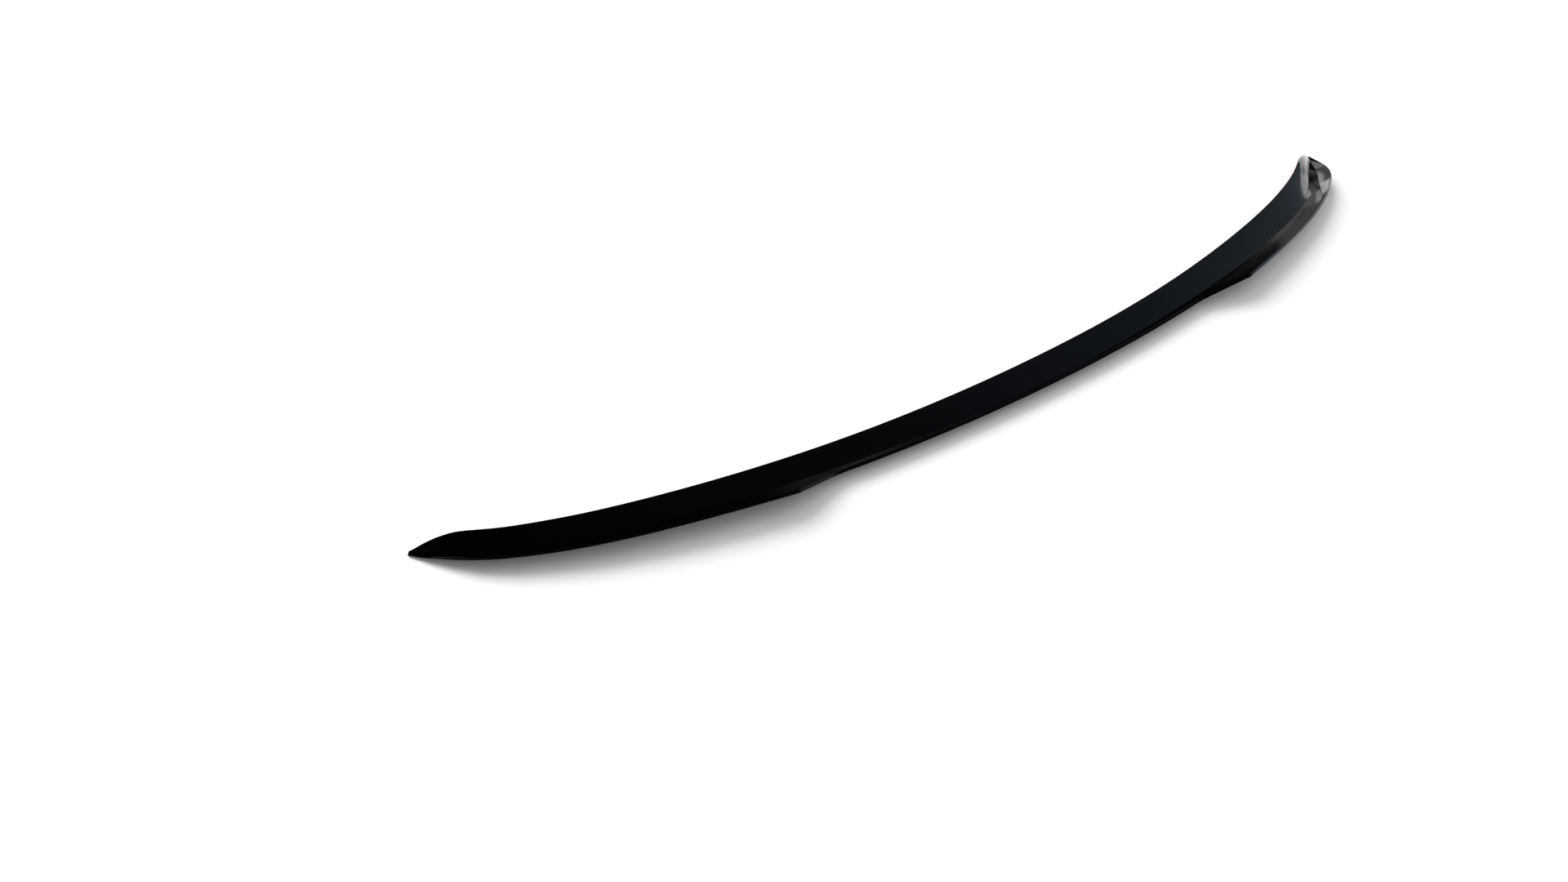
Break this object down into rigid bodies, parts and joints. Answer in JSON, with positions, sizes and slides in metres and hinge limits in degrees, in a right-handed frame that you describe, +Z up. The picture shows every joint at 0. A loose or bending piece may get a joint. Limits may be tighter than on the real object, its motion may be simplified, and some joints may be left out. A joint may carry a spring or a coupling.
{
  "type": "boot lid spoiler lip",
  "caption": "Bowed stick-on boot lid spoiler with a stepped trailing lip, bonded from two skins, with taped underside and pull-off liners.",
  "frame": {"origin": "middle of the footprint, on the plane of the narrow flat land along the lower edge", "axes": "+X runs tip to tip along the longest extent, -Y is the trailing side with the stepped lip, +Y faces the car, +Z is up and is the shortest extent"},
  "size_m": [1.198, 0.1564, 0.028],
  "materials": {
    "skin_top": "high gloss black",
    "skin_low": "high gloss black",
    "glue": "satin black structural adhesive",
    "foam": "fine-celled dark grey acrylic foam",
    "liner": "satin red polyethylene film"
  },
  "bodies": {
    "shell": {"upper_skin": "skin_top", "lower_skin": "skin_low", "rear_bond_bead": "glue", "front_bond_bead": "glue", "tape_foam_centre": "foam", "tape_foam_left": "foam", "tape_foam_right": "foam", "tape_foam_end_left": "foam", "tape_foam_end_right": "foam"},
    "liner_centre": {"tape_liner_centre": "liner"},
    "liner_left": {"tape_liner_left": "liner"},
    "liner_right": {"tape_liner_right": "liner"},
    "liner_end_left": {"tape_liner_end_left": "liner"},
    "liner_end_right": {"tape_liner_end_right": "liner"}
  },
  "joints": [
    {"name": "liner_centre_pull", "type": "slide", "parent": "shell", "child": "liner_centre", "axis": [0, 1, 0], "range_m": [0, 0.045]},
    {"name": "liner_left_pull", "type": "slide", "parent": "shell", "child": "liner_left", "axis": [0, 1, 0], "range_m": [0, 0.045]},
    {"name": "liner_right_pull", "type": "slide", "parent": "shell", "child": "liner_right", "axis": [0, 1, 0], "range_m": [0, 0.045]},
    {"name": "liner_end_left_pull", "type": "slide", "parent": "shell", "child": "liner_end_left", "axis": [0, 1, 0], "range_m": [0, 0.045]},
    {"name": "liner_end_right_pull", "type": "slide", "parent": "shell", "child": "liner_end_right", "axis": [0, 1, 0], "range_m": [0, 0.045]}
  ]
}
